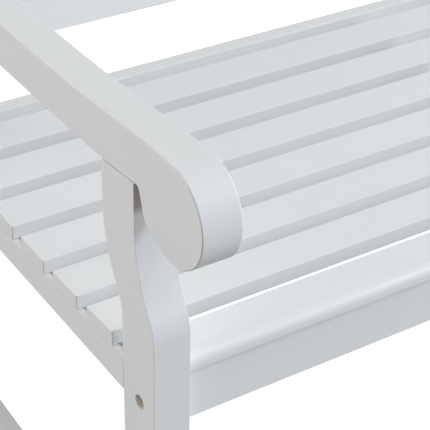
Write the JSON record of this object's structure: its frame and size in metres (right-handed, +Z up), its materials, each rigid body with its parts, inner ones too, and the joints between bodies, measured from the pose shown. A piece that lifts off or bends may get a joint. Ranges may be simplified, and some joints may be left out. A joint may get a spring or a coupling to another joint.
{
  "type": "rocking bench",
  "caption": "White painted wooden porch bench on curved rockers, with a dished slatted seat, a raked slatted back and scrolled armrests.",
  "frame": {"origin": "centre of the bench's outline at floor level: under the rockers' lowest facets, half way along the seat and half way from the rockers' front tips to their rear tips", "axes": "+X along the seat towards a sitter's left hand, which is the viewer's right from the front; +Y from the front edge towards the back; +Z up"},
  "size_m": [1.24, 0.9076, 0.917],
  "materials": {
    "white_paint": "white satin paint over softwood, arrises slightly rounded",
    "bolt_metal": "pale yellow-zinc plated connector bolts with wide flat hex-socket heads, and barrel nuts"
  },
  "bodies": {
    "root": {"left_front_leg": "white_paint", "left_back_post": "white_paint", "left_side_rail": "white_paint", "left_armrest": "white_paint", "left_rocker": "white_paint", "right_front_leg": "white_paint", "right_back_post": "white_paint", "right_side_rail": "white_paint", "right_armrest": "white_paint", "right_rocker": "white_paint", "front_apron": "white_paint", "rear_seat_rail": "white_paint", "centre_seat_support": "white_paint", "seat_slat_1": "white_paint", "seat_slat_2": "white_paint", "seat_slat_3": "white_paint", "seat_slat_4": "white_paint", "seat_slat_5": "white_paint", "seat_slat_6": "white_paint", "seat_slat_7": "white_paint", "lower_back_rail": "white_paint", "top_back_rail": "white_paint", "back_slat_01": "white_paint", "back_slat_02": "white_paint", "back_slat_03": "white_paint", "back_slat_04": "white_paint", "back_slat_05": "white_paint", "back_slat_06": "white_paint", "back_slat_07": "white_paint", "back_slat_08": "white_paint", "back_slat_09": "white_paint", "back_slat_10": "white_paint", "back_slat_11": "white_paint", "back_slat_12": "white_paint", "back_slat_13": "white_paint", "left_apron_bolt": "bolt_metal", "left_apron_nut": "bolt_metal", "left_rear_rail_bolt": "bolt_metal", "left_rear_rail_nut": "bolt_metal", "left_lower_back_bolt": "bolt_metal", "left_lower_back_nut": "bolt_metal", "left_top_back_bolt": "bolt_metal", "left_top_back_nut": "bolt_metal", "left_front_rocker_bolt": "bolt_metal", "left_rear_rocker_bolt": "bolt_metal", "right_apron_bolt": "bolt_metal", "right_apron_nut": "bolt_metal", "right_rear_rail_bolt": "bolt_metal", "right_rear_rail_nut": "bolt_metal", "right_lower_back_bolt": "bolt_metal", "right_lower_back_nut": "bolt_metal", "right_top_back_bolt": "bolt_metal", "right_top_back_nut": "bolt_metal", "right_front_rocker_bolt": "bolt_metal", "right_rear_rocker_bolt": "bolt_metal"}
  },
  "joints": []
}
